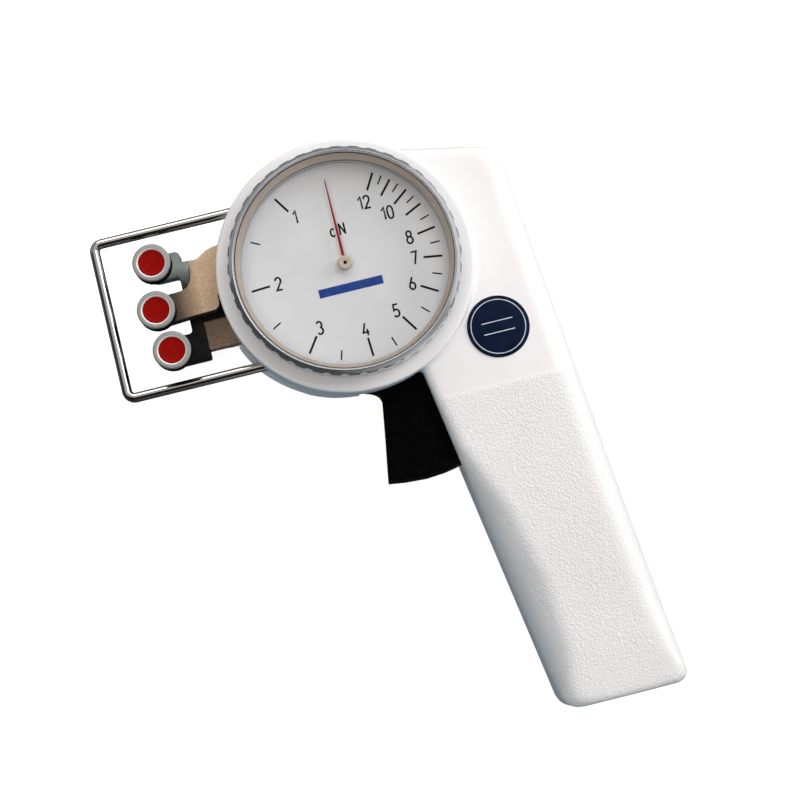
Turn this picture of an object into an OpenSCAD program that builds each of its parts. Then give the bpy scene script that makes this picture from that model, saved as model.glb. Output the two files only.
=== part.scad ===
// Hand-held mechanical yarn tension meter, lying on its back with the dial up.
// Origin: on the dial axis at the back plane. +X from the roller head to the grip side,
// +Y to the twelve o'clock mark of the dial, +Z out of the dial. Millimetres.

/* [Housing] */
// Outer radius of the round dial housing at its rim
cup_r = 45.7; // [45.5:0.1:46]
// Height of the housing rim above the back
rim_z = 40; // [39.8:0.05:40.1]
// Height of the flat front face of the grip
grip_z = 33; // [32:0.5:33.5]
// Height of the joint between the rear cover and the front housing
split_z = 13; // [12:0.5:13]
// Draft angle of the round housing wall
draft = 1.5; // [1:0.5:3]
// Wall thickness of the grip shell
wall = 2.5; // [2:0.1:3]

/* [Dial] */
// Outer radius of the turning bezel
bezel_r = 40.9; // [40:0.1:41.5]
// Number of finger scallops round the bezel
scallops = 40; // [30:1:44]
// Radius of the dial opening
sight_r = 36.5; // [36:0.1:37]
// Length of the pointer from the dial axis
pointer_len = 31; // [26:0.5:32]

/* [Roller head] */
// Outer radius of a yarn roller
roller_r = 6.75; // [6:0.05:6.8]
// X position of the two outer rollers
outer_x = -66; // [-67:0.5:-65]
// Position of the top roller along Y
top_y = 16.6; // [16.2:0.1:17]
// Position of the bottom roller along Y
bottom_y = -15.4; // [-16:0.1:-15]
// Radius of the red cap in a roller
cap_r = 4.68; // [4.4:0.02:4.72]

/* [Wire guard] */
// Diameter of the guard wire
wire_d = 3.6; // [3.2:0.1:4]
// X position of the guard's cross bar
guard_x = -85.6; // [-88:0.2:-84]

/* [Trigger] */
// Thickness of the trigger pad
pad_t = 16; // [12:0.5:16]

/* [Hidden] */
$fn = 64;

e = 0.01;
mid_xy = [-68.2, -0.2];
top_xy = [outer_x, top_y];
bot_xy = [outer_x, bottom_y];
// Heights of the layers, back to front
floor_z = 3;
arm_z0 = 8; arm_z1 = 14;
chassis_z0 = 14.8; chassis_z1 = 16.3;
bar_z0 = 17; bar_z1 = 23;
lever_z0 = 24.5; lever_z1 = 30.3;
plate_z0 = 26.5; plate_z1 = 28;
front_z0 = 35; front_z1 = 36.5;
post_z = 34.4; roller_z0 = 34.8; roller_z1 = 41;
dial_z0 = 38.6; dial_z1 = 39.4;
bezel_z1 = 48;
// Plan positions of the shafts
lever_xy = [-16, 24];
trig_xy = [2, 30];
pin_xy = [2, -11];
sector_r = 28; ipin_r = 2.6; igear_r = 16.5; ppin_r = 1.5;
ab = sector_r - ipin_r;
ob = igear_r + ppin_r;
oa = norm(lever_xy);
ua = lever_xy / oa;
bx = (ob * ob - ab * ab + oa * oa) / (2 * oa);
inter_xy = bx * ua + sqrt(ob * ob - bx * bx) * [ua[1], -ua[0]];
bar_y0 = -15.3; bar_y1 = -4.8;
guard_top_y = 30.2; guard_bot_y = -26.9; guard_z = 29.8; guard_bend = 2.8;
back_r = 20;
pillars = [[28, -8], [13, -28], [-12, -29], [-5, 29.5]];
boss_a = [45, 100, 235, 330];
boss_pr = 36.5;
standoffs = [[-25, 13], [-23, -18], [25, 14]];
grip_screws = [[57, 19], [69, -153], [47, -155]];
all_screws = concat(standoffs, grip_screws);
// Corner discs of the grip outline: x, y, corner radius, front edge radius
corners = [[58, 26.1, 6.5, 5], [74.4, -162.4, 7, 6.6], [43.9, -161.4, 8, 7.5], [21, -10, 8, 7.5], [24, 33.1, 6.5, 5]];

function arc(cx, cy, r, a0, a1, n) = [for (i = [0:n]) let (a = a0 + (a1 - a0) * i / n) [cx + r * cos(a), cy + r * sin(a)]];
function wall_r(z) = cup_r - max(0, 31 - z) * tan(draft);
function polar(r, a) = [r * cos(a), r * sin(a)];
// Where the back rounding of the cup is centred, and where a guard socket starts
back_x = wall_r(back_r - back_r * sin(draft)) - back_r * cos(draft);
function socket_x(y) = -sqrt(cup_r * cup_r - pow(abs(y) + 3.2, 2));

// ---------- housing ----------
module cup_outer() {
    fr = 1.2;
    rotate_extrude($fn = 160) polygon(concat([[0, 0]], arc(back_x, back_r, back_r, -90, -draft, 8),
        [[cup_r, 31]], arc(cup_r - fr, rim_z - fr, fr, 0, 90, 6), [[0, rim_z]]));
}
module cup_inner() {
    rotate_extrude($fn = 160) polygon(concat([[0, floor_z]], arc(back_x, back_r, back_r - 3, -90, 0, 8),
        [[cup_r - 3.2, 31], [cup_r - 3.2, rim_z - 3.4], [41, rim_z - 3.4], [41, 33], [37.5, 33], [37.5, rim_z + 1], [0, rim_z + 1]]));
}
module grip_disc(rc, rf, rb, z0, z1) {
    rotate_extrude($fn = 32) polygon(concat([[0, z0]], arc(rc - rb, z0 + rb, rb, -90, 0, 4),
        arc(rc - rf, z1 - rf, rf, 0, 90, 5), [[0, z1]]));
}
module grip_outer() {
    hull() for (c = corners) translate([c[0], c[1], 0]) grip_disc(c[2], c[3], 5, 0, grip_z);
}
module grip_inner() {
    hull() for (c = corners) translate([c[0], c[1], 0])
        grip_disc(c[2] - wall, c[3] - wall + 0.3, 2.5, floor_z, grip_z - wall);
}
module shell() {
    difference() {
        union() { cup_outer(); grip_outer(); }
        cup_inner();
        grip_inner();
    }
}
// Openings through both shells: roller head window and trigger slot
module head_window() { translate([-52, -21.6, 16.4]) cube([17, 45.2, 14.4]); }
module trigger_slot() {
    intersection() {
        translate([trig_xy[0], trig_xy[1], arm_z0 - 0.6]) cylinder(r = 109.6, h = pad_t + 1.6, $fn = 200);
        translate([-6.2, -84, 0]) cube([42.2, 54, 40]);
    }
}
module front_housing() {
    color("white") difference() {
        union() {
            shell();
            for (s = grip_screws) translate([s[0], s[1], split_z]) cylinder(r = 3.6, h = grip_z - wall - split_z + 0.5);
            // Bosses for the chassis plate, tied to the wall and the rim
            for (a = boss_a) rotate(a) {
                translate([boss_pr, 0, chassis_z1]) cylinder(r = 3.2, h = 14.2);
                translate([boss_pr, -2, chassis_z1]) cube([wall_r(18) - boss_pr - 1.5, 4, 14.2]);
                translate([40, -2, 29]) cube([5, 4, 5]);
            }
            // Sockets for the guard wire
            for (y = [guard_top_y, guard_bot_y]) translate([socket_x(y), y, guard_z]) rotate([0, 90, 0]) cylinder(r = 3.2, h = 2.6);
            // Seat of the trigger spring
            translate([59, -70, 9]) cube([3, 16, 22]);
        }
        translate([-100, -250, -1]) cube([300, 400, split_z + 1]);
        head_window();
        trigger_slot();
        for (y = [guard_top_y, guard_bot_y]) translate([-60, y, guard_z]) rotate([0, 90, 0]) cylinder(r = wire_d / 2 + 0.02, h = 60 + socket_x(y) + 2.3);
        for (s = grip_screws) translate([s[0], s[1], split_z - 1]) cylinder(r = 1.3, h = 11);
        for (a = boss_a) translate(concat(polar(boss_pr, a), [chassis_z1 - 1])) cylinder(r = 1.3, h = 8);
    }
}
module rear_cover() {
    color("white") difference() {
        union() {
            shell();
            for (s = standoffs) translate([s[0], s[1], 1]) cylinder(r = 4.2, h = 5);
            for (s = grip_screws) translate([s[0], s[1], 1]) cylinder(r = 4.2, h = split_z - 1);
        }
        translate([-100, -250, split_z]) cube([300, 400, 40]);
        trigger_slot();
        for (s = all_screws) translate([s[0], s[1], -1]) {
            cylinder(r = 1.4, h = 20);
            cylinder(r = 2.9, h = 3.8);
        }
    }
}
module cap_screw(r, hr, hh, len) {
    difference() {
        union() { cylinder(r = hr, h = hh); cylinder(r = r, h = hh + len); }
        translate([0, 0, -1]) cylinder(r = hr * 0.5, h = hh * 0.6 + 1, $fn = 6);
    }
}
module housing_screws() {
    color("silver") for (s = all_screws) translate([s[0], s[1], 0.8]) cap_screw(1.25, 2.6, 2, 12);
}
module inspection_disc() {
    color("midnightblue") translate([47.3, -33.6, grip_z]) cylinder(r = 11.1, h = 0.3);
}
module wire_guard() {
    r = wire_d / 2;
    b = guard_bend;
    color("silver") {
        for (y = [guard_top_y, guard_bot_y]) translate([guard_x + b, y, guard_z]) rotate([0, 90, 0]) cylinder(r = r, h = socket_x(y) + 2.2 - guard_x - b);
        translate([guard_x, guard_bot_y + b, guard_z]) rotate([-90, 0, 0]) cylinder(r = r, h = guard_top_y - guard_bot_y - 2 * b);
        translate([guard_x + b, guard_top_y - b, guard_z]) rotate(90) rotate_extrude(angle = 90) translate([b, 0]) circle(r = r);
        translate([guard_x + b, guard_bot_y + b, guard_z]) rotate(180) rotate_extrude(angle = 90) translate([b, 0]) circle(r = r);
    }
}

// ---------- dial ----------
module bezel_ring() {
    color("silver") difference() {
        rotate_extrude($fn = 160) polygon([[35.6, 30.8], [37.4, 30.8], [37.4, 31.4], [36.7, 31.4], [36.7, 32.5], [37.4, 32.5],
            [37.4, 40.2], [bezel_r - 0.4, 40.2], [bezel_r, 40.6], [bezel_r, bezel_z1 - 1.7], [bezel_r - 0.6, bezel_z1 - 0.6], [bezel_r - 1.2, bezel_z1],
            [38.7, bezel_z1], [38.45, bezel_z1 - 0.4], [38.45, 43.8], [38.3, 43.8], [38.3, 42.3], [36.65, 42.3], [36.65, dial_z0], [35.6, dial_z0]]);
        for (i = [0:scallops - 1]) rotate((i + 0.5) * 360 / scallops) translate([bezel_r + 2.5, 0, 40]) cylinder(r = 3, h = bezel_z1 - 40.6);
    }
}
module bezel_snap_ring() {
    color("dimgray") difference() {
        translate([0, 0, 31.5]) cylinder(r = 39, h = 0.9, $fn = 128);
        translate([0, 0, 31]) cylinder(r = 36.75, h = 2, $fn = 128);
        translate([0, -1.5, 31]) cube([50, 3, 2]);
    }
}
module lens() { color([0.9, 0.95, 1, 0.3]) translate([0, 0, 42.3]) cylinder(r = 38.25, h = 1.5, $fn = 128); }
module lens_retaining_ring() {
    color("tan") rotate_extrude($fn = 128) polygon([[sight_r, 43.8], [38.4, 43.8], [38.4, bezel_z1 - 0.4], [38.2, bezel_z1 - 0.4], [sight_r, 44.3]]);
}
module dial_plate() {
    color("gainsboro") translate([0, 0, dial_z0]) difference() {
        cylinder(r = 36.6, h = dial_z1 - dial_z0, $fn = 128);
        translate([0, 0, -1]) cylinder(r = 2, h = 3);
    }
}
module pointer() {
    color("crimson") translate([0, 0, 40.9]) linear_extrude(0.4)
        polygon([[-0.7, 2.3], [-0.7, 3], [-0.2, pointer_len], [0.2, pointer_len], [0.7, 3], [0.7, 2.3]]);
}
module pointer_hub() {
    color("tan") difference() {
        rotate_extrude() polygon([[0.75, 40], [2.2, 40], [2.2, 40.6], [2.6, 40.9], [2.6, 41.7], [2.3, 42], [0.75, 42]]);
        translate([-0.7, 2.3, 40.9]) cube([1.4, 1, 0.4]);
    }
}
module gear(r, n, d, h) {
    linear_extrude(h) polygon([for (i = [0:n - 1], k = [0:3]) polar(k == 0 || k == 3 ? r - d : r, (i + [0.02, 0.27, 0.52, 0.77][k]) * 360 / n)]);
}
module pointer_arbor() {
    color("silver") {
        translate([0, 0, plate_z0]) cylinder(r = 0.75, h = 41.5 - plate_z0);
        translate([0, 0, 32.7]) gear(ppin_r - 0.06, 10, 0.4, 1.6);
    }
}
module spiral(r0, r1, turns, t, h) {
    n = 24 * turns;
    linear_extrude(h) polygon(concat(
        [for (i = [0:n]) polar(r0 + (r1 - r0) * i / n, i * 15)],
        [for (i = [n:-1:0]) polar(r0 + (r1 - r0) * i / n + t, i * 15)]));
}
module hairspring() { color("goldenrod") translate([0, 0, 28.6]) spiral(0.78, 6, 4, 0.25, 0.8); }
module hairspring_stud() { color("goldenrod") translate([7, 0, plate_z1]) cylinder(r = 0.7, h = 1.5); }
module damping_disc() {
    color("lightgray") difference() {
        translate([0, 0, 30]) cylinder(r = 11, h = 0.6);
        translate([0, 0, 29]) cylinder(r = 0.75, h = 3);
    }
}
module damping_magnet() {
    color("dimgray") difference() {
        translate([-5, -16, plate_z1]) cube([10, 9, 4.5]);
        translate([-6, -13, 29.5]) cube([12, 8, 1.6]);
    }
}
module at_inter() { translate([inter_xy[0], inter_xy[1], 0]) children(); }
module intermediate_arbor() {
    color("silver") at_inter() {
        translate([0, 0, plate_z0]) cylinder(r = 0.9, h = front_z1 - plate_z0);
        translate([0, 0, 30.7]) gear(ipin_r - 0.06, 14, 0.5, 1.6);
    }
}
module intermediate_gear() {
    color("goldenrod") at_inter() translate([0, 0, 33]) difference() {
        gear(igear_r - 0.06, 110, 0.35, 1);
        translate([0, 0, -1]) cylinder(r = 0.9, h = 3);
        for (a = [0:90:270]) rotate(a + 45) translate([9, 0, -1]) cylinder(r = 4, h = 3);
    }
}
module arbor_bushes() {
    color("goldenrod") for (z = [plate_z0, front_z0]) {
        translate([0, 0, z]) difference() { cylinder(r = 2.2, h = 1.5); translate([0, 0, -1]) cylinder(r = 0.78, h = 4); }
        at_inter() translate([0, 0, z]) difference() { cylinder(r = 2.2, h = 1.5); translate([0, 0, -1]) cylinder(r = 0.93, h = 4); }
    }
}

// ---------- chassis and movement plates ----------
module chassis_plate() {
    color("lightgray") translate([0, 0, chassis_z0]) difference() {
        cylinder(r = 39.5, h = chassis_z1 - chassis_z0, $fn = 128);
        translate([-50, -84, -1]) cube([100, 50, 4]);
        translate([-1.2, -14, -1]) cube([15.5, 6.6, 4]);
        translate([lever_xy[0], lever_xy[1], -1]) cylinder(r = 4, h = 4);
        translate([trig_xy[0], trig_xy[1], -1]) cylinder(r = 3, h = 4);
        for (a = boss_a) translate(concat(polar(boss_pr, a), [-1])) cylinder(r = 1.4, h = 4);
        for (s = standoffs) translate([s[0], s[1], -1]) cylinder(r = 1.3, h = 4);
        for (p = pillars) translate([p[0], p[1], -1]) cylinder(r = 1.2, h = 4);
    }
}
module chassis_screws() {
    color("silver") for (a = boss_a) translate(concat(polar(boss_pr, a), [chassis_z0 - 2])) cap_screw(1.25, 2.4, 2, 7);
}
module chassis_standoffs() {
    color("silver") for (s = standoffs) translate([s[0], s[1], 6]) difference() {
        cylinder(r = 3.2, h = chassis_z0 - 6);
        translate([0, 0, -1]) cylinder(r = 1.3, h = 20);
    }
}
module movement_rear_plate() {
    color("goldenrod") translate([0, 0, plate_z0]) difference() {
        linear_extrude(plate_z1 - plate_z0) polygon([[-8, 32], [2, 32], [14, 24], [24, 10], [32, -6], [32, -12], [17, -32], [9, -32.5],
            [-7, -31], [-15, -32], [-16, -26], [-9, -14], [-9, 4], [-5, 22], [-8, 27]]);
        translate([0, 0, -1]) cylinder(r = 2.2, h = 4);
        at_inter() translate([0, 0, -1]) cylinder(r = 2.2, h = 4);
        for (p = pillars) translate([p[0], p[1], -1]) cylinder(r = 2.02, h = 4);
    }
}
module movement_front_plate() {
    color("goldenrod") translate([0, 0, front_z0]) difference() {
        cylinder(r = 34.5, h = front_z1 - front_z0, $fn = 128);
        translate([0, 0, -1]) cylinder(r = 2.2, h = 4);
        at_inter() translate([0, 0, -1]) cylinder(r = 2.2, h = 4);
        translate([lever_xy[0], lever_xy[1], -1]) cylinder(r = 4, h = 4);
        for (p = pillars) translate([p[0], p[1], -1]) cylinder(r = 1.2, h = 4);
    }
}
module movement_pillars() {
    color("silver") for (p = pillars) translate([p[0], p[1], 0]) difference() {
        union() {
            translate([0, 0, chassis_z1]) cylinder(r = 3, h = plate_z0 - chassis_z1);
            translate([0, 0, chassis_z1]) cylinder(r = 2, h = front_z0 - chassis_z1);
            translate([0, 0, chassis_z0]) cylinder(r = 1.2, h = 3);
        }
        translate([0, 0, front_z0 - 5]) cylinder(r = 1.1, h = 6);
    }
}
module pillar_screws() {
    color("silver") for (p = pillars) translate([p[0], p[1], front_z1 + 1.3]) mirror([0, 0, 1]) cap_screw(1.05, 2, 1.3, 5);
}

// ---------- measuring lever ----------
module measuring_lever() {
    color("tan") difference() {
        union() {
            translate([0, 0, lever_z0]) linear_extrude(lever_z1 - lever_z0) union() {
                polygon(concat([[mid_xy[0], -3.9], [-64, -3.8], [-57, -3.3]], arc(-49.1, -0.5, 2.5, -90, 0, 6),
                    [[-46.4, 2], [-40, 5.5], [-24, 15], [-11.5, 18.6], [-13, 30.3], [-18.5, 30.6], [-38, 21.2], [-42.8, 19.9], [-46.3, 19.2],
                    [-48.4, 18.2], [-50.2, 17], [-51.6, 16.6]], arc(-53.4, 15.8, 0.9, 90, 180, 3), [[-54, 14.4]],
                    arc(-59.6, 11.7, 5.1, -10, -84, 6), [[mid_xy[0], 6.2]]));
                translate([mid_xy[0], 1.15]) circle(r = 5.05);
                translate(lever_xy) circle(r = 7);
            }
            translate([mid_xy[0], mid_xy[1], lever_z1 - 1]) cylinder(r = 3.6, h = post_z - lever_z1 + 1);
        }
        translate([lever_xy[0], lever_xy[1], 0]) cylinder(r = 2, h = 50);
        translate([mid_xy[0], mid_xy[1], 0]) cylinder(r = 1.48, h = 50);
        translate([lever_xy[0], lever_xy[1], 27.4]) rotate([0, 90, 0]) cylinder(r = 1, h = 8);
    }
}
module lever_arbor() {
    color("silver") translate([lever_xy[0], lever_xy[1], 13]) cylinder(r = 2, h = 24);
}
module lever_bearings() {
    color("silver") for (z = [chassis_z1 - 3, front_z1 - 3]) translate([lever_xy[0], lever_xy[1], z]) race(2.03, 4, 3);
}
module race(ri, ro, h) {
    w = (ro - ri) / 3;
    difference() {
        cylinder(r = ro, h = h);
        translate([0, 0, -1]) cylinder(r = ri, h = h + 2);
        for (z = [-1, h - 0.25]) translate([0, 0, z]) difference() {
            cylinder(r = ro - w, h = 1.25);
            translate([0, 0, -1]) cylinder(r = ri + w, h = 4);
        }
    }
}
module lever_clamp_screw() {
    color("silver") translate([lever_xy[0] + 2.1, lever_xy[1], 27.4]) rotate([0, 90, 0]) difference() {
        cylinder(r = 0.97, h = 4);
        translate([0, 0, 3]) cylinder(r = 0.5, h = 2, $fn = 6);
    }
}
module sector_gear() {
    dir = inter_xy - lever_xy;
    a0 = atan2(dir[1], dir[0]);
    n = 13;
    color("goldenrod") translate([lever_xy[0], lever_xy[1], 31]) rotate(a0) difference() {
        linear_extrude(1) union() {
            difference() {
                circle(r = 5);
                circle(r = 2, $fn = 48);
            }
            // Two spokes and the toothed arc, with the teeth on its inner side
            for (s = [-1, 1]) rotate(s * 14) translate([4.4, -1]) square([25, 2]);
            polygon(concat(arc(0, 0, 31, -16, 16, 16),
                [for (i = [n:-1:-n], k = [0:3]) polar(k == 0 || k == 3 ? sector_r + 0.56 : sector_r + 0.06, (i + [0.5, 0.25, -0.25, -0.5][k] * 0.98) * 1.15)]));
        }
        translate([0, 0, -1]) cylinder(r = 2, h = 3);
    }
}
module measuring_spring() { color("steelblue") translate([lever_xy[0], lever_xy[1], 18.5]) spiral(2.05, 9, 5, 0.5, 3.5); }
module measuring_spring_stud() { color("silver") translate([lever_xy[0] + 10.6, lever_xy[1], chassis_z1]) cylinder(r = 1, h = 6); }

// ---------- guide carriage ----------
module guide_yoke() {
    color("dimgray") difference() {
        union() {
            translate([0, 0, bar_z0]) linear_extrude(bar_z1 - bar_z0) union() {
                // Spine
                translate([-58.8, -18.2]) square([4.6, 36.8]);
                // Upper arm, with a rounded shoulder, and lower arm
                polygon(concat([[outer_x, top_y - 3.2], [-56.9, top_y - 3.2]], arc(-59.5, 20.3, 2.6, 0, 90, 6), [[outer_x, 22.9]]));
                translate([outer_x, 18.15]) circle(r = 4.75);
                translate([outer_x, -18.2]) square([8, 10.5]);
                translate([outer_x, -12.95]) circle(r = 5.25);
            }
            // Tongue under the bar
            translate([-54.5, bar_y0 + 0.2, bar_z0]) cube([8.5, bar_y1 - bar_y0 - 0.4, 2.6]);
            // Web beside the bar, in the shade of the measuring lever
            translate([-54.5, bar_y1 + 0.05, bar_z0]) cube([8, 7, bar_z1 - bar_z0 - 0.5]);
            for (p = [top_xy, bot_xy]) translate([p[0], p[1], bar_z0]) cylinder(r = 3, h = post_z - bar_z0);
        }
        for (p = [top_xy, bot_xy]) translate([p[0], p[1], bar_z0 - 1]) cylinder(r = 1.48, h = 40);
        for (y = [-13, -8.3]) translate([-50, y, 0]) {
            cylinder(r = 1.1, h = 50);
            cylinder(r = 2, h = bar_z0 + 1.1);
        }
    }
}
module carriage_bar() {
    color("tan") difference() {
        translate([-54.2, bar_y0, bar_z0]) cube([60.7, bar_y1 - bar_y0, bar_z1 - bar_z0]);
        translate([-55, bar_y0 - 1, bar_z0 - 1]) cube([9.05, 12, 3.62]);
        translate([pin_xy[0] - 2.1, -13.6, 0]) cube([4.2, 5.9, 50]);
        for (y = [-13, -8.3]) translate([-50, y, bar_z0]) cylinder(r = 1, h = 5.2);
    }
}
module yoke_screws() {
    color("silver") for (y = [-13, -8.3]) translate([-50, y, bar_z0 + 0.05]) cap_screw(0.98, 1.9, 1, 4);
}
module bar_guides() {
    color("goldenrod") for (x = [-34, -16]) difference() {
        translate([x, -17.8, chassis_z1]) cube([8, 14.3, 7.9]);
        translate([x - 1, bar_y0 - 0.05, bar_z0 - 0.05]) cube([10, bar_y1 - bar_y0 + 0.1, bar_z1 - bar_z0 + 0.1]);
    }
}

// ---------- rollers ----------
module axle(p, z0) {
    translate([p[0], p[1], 0]) difference() {
        union() {
            translate([0, 0, z0]) cylinder(r = 1.48, h = 39.6 - z0);
            translate([0, 0, post_z]) cylinder(r = 2, h = 35.6 - post_z);
        }
        translate([0, 0, 39.05]) difference() { cylinder(r = 3, h = 0.4); translate([0, 0, -1]) cylinder(r = 1.2, h = 3); }
    }
}
module clip(p) {
    translate([p[0], p[1], 39.07]) difference() {
        cylinder(r = 2.5, h = 0.36);
        translate([0, 0, -1]) cylinder(r = 1.22, h = 3);
        translate([0, -0.9, -1]) cube([5, 1.8, 3]);
    }
}
module guide_roller_axles() { color("silver") { axle(top_xy, bar_z0); axle(bot_xy, bar_z0); } }
module guide_roller_clips() { color("dimgray") { clip(top_xy); clip(bot_xy); } }
module measuring_roller_axle() { color("silver") axle(mid_xy, lever_z0); }
module measuring_roller_clip() { color("dimgray") clip(mid_xy); }
module roller(p) {
    color("lightgray") translate([p[0], p[1], 0]) rotate_extrude($fn = 96) polygon([[2.5, roller_z0], [roller_r - 0.3, roller_z0], [roller_r, roller_z0 + 0.3],
        [roller_r, 36.1], [5.1, 37.6], [5.1, 37.9], [roller_r, 39.4], [roller_r, roller_z1 - 0.4], [roller_r - 0.4, roller_z1],
        [5.2, roller_z1], [4.75, roller_z1 - 0.5], [4.75, 39.8], [4, 39.8], [4, 35.6], [2.5, 35.6]]);
}
module roller_cap(p) {
    color("red") translate([p[0], p[1], 0]) rotate_extrude() polygon([[0, 39.8], [cap_r, 39.8], [cap_r, 40.5], [cap_r - 0.35, 40.6], [cap_r - 0.8, 40.35], [0, 40.25]]);
}
module roller_bearing(p) {
    color("silver") translate([p[0], p[1], 35.6]) race(1.5, 3.99, 3.4);
}
module roller_top() { roller(top_xy); }
module roller_middle() { roller(mid_xy); }
module roller_bottom() { roller(bot_xy); }
module roller_top_cap() { roller_cap(top_xy); }
module roller_middle_cap() { roller_cap(mid_xy); }
module roller_bottom_cap() { roller_cap(bot_xy); }
module roller_top_bearing() { roller_bearing(top_xy); }
module roller_middle_bearing() { roller_bearing(mid_xy); }
module roller_bottom_bearing() { roller_bearing(bot_xy); }

// ---------- trigger ----------
module trigger() {
    color([0.08, 0.08, 0.09]) difference() {
        union() {
            translate([0, 0, arm_z0]) linear_extrude(arm_z1 - arm_z0) union() {
                translate(trig_xy) circle(r = 6);
                polygon([[-2.5, 30], [6.5, 30], [7, -12], [16, -43], [3, -43], [-3, -12]]);
            }
            // Finger pad, bounded by two arcs about the pivot
            intersection() {
                translate([0, 0, arm_z0]) linear_extrude(pad_t) polygon([[-5.5, -36], [-5.5, -41.5], [-1.9, -42.8], [-0.4, -43.6], [0.9, -44.8], [1.5, -46.6], [1.3, -48.1],
                    [-0.7, -60.3], [-2.6, -71.1], [-3.5, -76.4], [2.6, -77.3], [10.5, -77.8], [17.3, -77.3], [21.2, -76.6], [26, -75.4], [30, -74], [25.5, -42], [25, -36]]);
                translate([trig_xy[0], trig_xy[1], 0]) difference() {
                    cylinder(r = 108.8, h = 50, $fn = 200);
                    translate([0, 0, -1]) cylinder(r = 72, h = 60, $fn = 160);
                }
            }
        }
        translate([trig_xy[0], trig_xy[1], 0]) cylinder(r = 3.05, h = 50);
        translate([pin_xy[0], pin_xy[1], 0]) cylinder(r = 2, h = 50);
    }
}
module trigger_pivot_pin() {
    color("silver") translate([trig_xy[0], trig_xy[1], 5.8]) difference() {
        cylinder(r = 3, h = chassis_z1 - 5.8);
        translate([0, 0, 1]) difference() { cylinder(r = 4, h = 0.9); translate([0, 0, -1]) cylinder(r = 2.4, h = 3); }
    }
}
module trigger_clip() {
    color("dimgray") translate([trig_xy[0], trig_xy[1], 6.85]) difference() {
        cylinder(r = 5, h = 0.8);
        translate([0, 0, -1]) cylinder(r = 2.45, h = 3);
        translate([0, -1.9, -1]) cube([8, 3.8, 3]);
    }
}
module trigger_drive_pin() { color("silver") translate([pin_xy[0], pin_xy[1], arm_z0 + 1]) cylinder(r = 2, h = 22.4 - arm_z0 - 1); }
module coil(r, wr, turns, len) {
    nt = 14;
    ns = 6;
    n = turns * nt;
    pts = [for (i = [0:n], k = [0:ns - 1]) let (a = i * 360 / nt, b = k * 360 / ns)
        [(r + wr * cos(b)) * cos(a), (r + wr * cos(b)) * sin(a), wr + (len - 2 * wr) * i / n + wr * sin(b)]];
    quads = [for (i = [0:n - 1], k = [0:ns - 1]) [i * ns + k, i * ns + (k + 1) % ns, (i + 1) * ns + (k + 1) % ns, (i + 1) * ns + k]];
    polyhedron(points = pts, faces = concat(quads, [[for (k = [ns - 1:-1:0]) k]], [[for (k = [0:ns - 1]) n * ns + k]]), convexity = 10);
}
module trigger_return_spring() { color("silver") translate([30, -62, 16]) rotate([0, 90, 0]) coil(4.6, 0.45, 7, 29); }

front_housing();
rear_cover();
housing_screws();
inspection_disc();
wire_guard();
bezel_ring();
bezel_snap_ring();
lens();
lens_retaining_ring();
dial_plate();
pointer();
pointer_hub();
pointer_arbor();
hairspring();
hairspring_stud();
damping_disc();
damping_magnet();
intermediate_arbor();
intermediate_gear();
arbor_bushes();
chassis_plate();
chassis_screws();
chassis_standoffs();
movement_rear_plate();
movement_front_plate();
movement_pillars();
pillar_screws();
measuring_lever();
lever_arbor();
lever_bearings();
lever_clamp_screw();
sector_gear();
measuring_spring();
measuring_spring_stud();
guide_yoke();
carriage_bar();
yoke_screws();
bar_guides();
guide_roller_axles();
guide_roller_clips();
measuring_roller_axle();
measuring_roller_clip();
roller_top();
roller_middle();
roller_bottom();
roller_top_cap();
roller_middle_cap();
roller_bottom_cap();
roller_top_bearing();
roller_middle_bearing();
roller_bottom_bearing();
trigger();
trigger_pivot_pin();
trigger_clip();
trigger_drive_pin();
trigger_return_spring();
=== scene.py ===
import math

import bpy
import numpy as np
from mathutils import Matrix, Vector


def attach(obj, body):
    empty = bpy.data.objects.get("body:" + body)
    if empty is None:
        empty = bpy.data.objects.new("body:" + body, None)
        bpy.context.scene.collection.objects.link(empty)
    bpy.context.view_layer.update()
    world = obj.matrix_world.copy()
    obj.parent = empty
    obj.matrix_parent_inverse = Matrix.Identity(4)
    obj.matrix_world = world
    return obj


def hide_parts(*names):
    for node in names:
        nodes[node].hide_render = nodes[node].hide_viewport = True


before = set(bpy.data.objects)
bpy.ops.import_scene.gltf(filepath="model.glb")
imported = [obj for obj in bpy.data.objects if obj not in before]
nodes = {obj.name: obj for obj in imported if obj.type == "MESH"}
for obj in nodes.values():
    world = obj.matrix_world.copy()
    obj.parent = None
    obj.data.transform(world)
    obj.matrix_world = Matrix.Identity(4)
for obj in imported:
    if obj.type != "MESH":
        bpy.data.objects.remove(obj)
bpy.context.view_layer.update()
scene = bpy.context.scene
MM = 0.001


# ---------- materials ----------
def srgb(*c):
    return tuple(v / 255 / 12.92 if v / 255 <= 0.04045 else ((v / 255 + 0.055) / 1.055) ** 2.4 for v in c)


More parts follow.
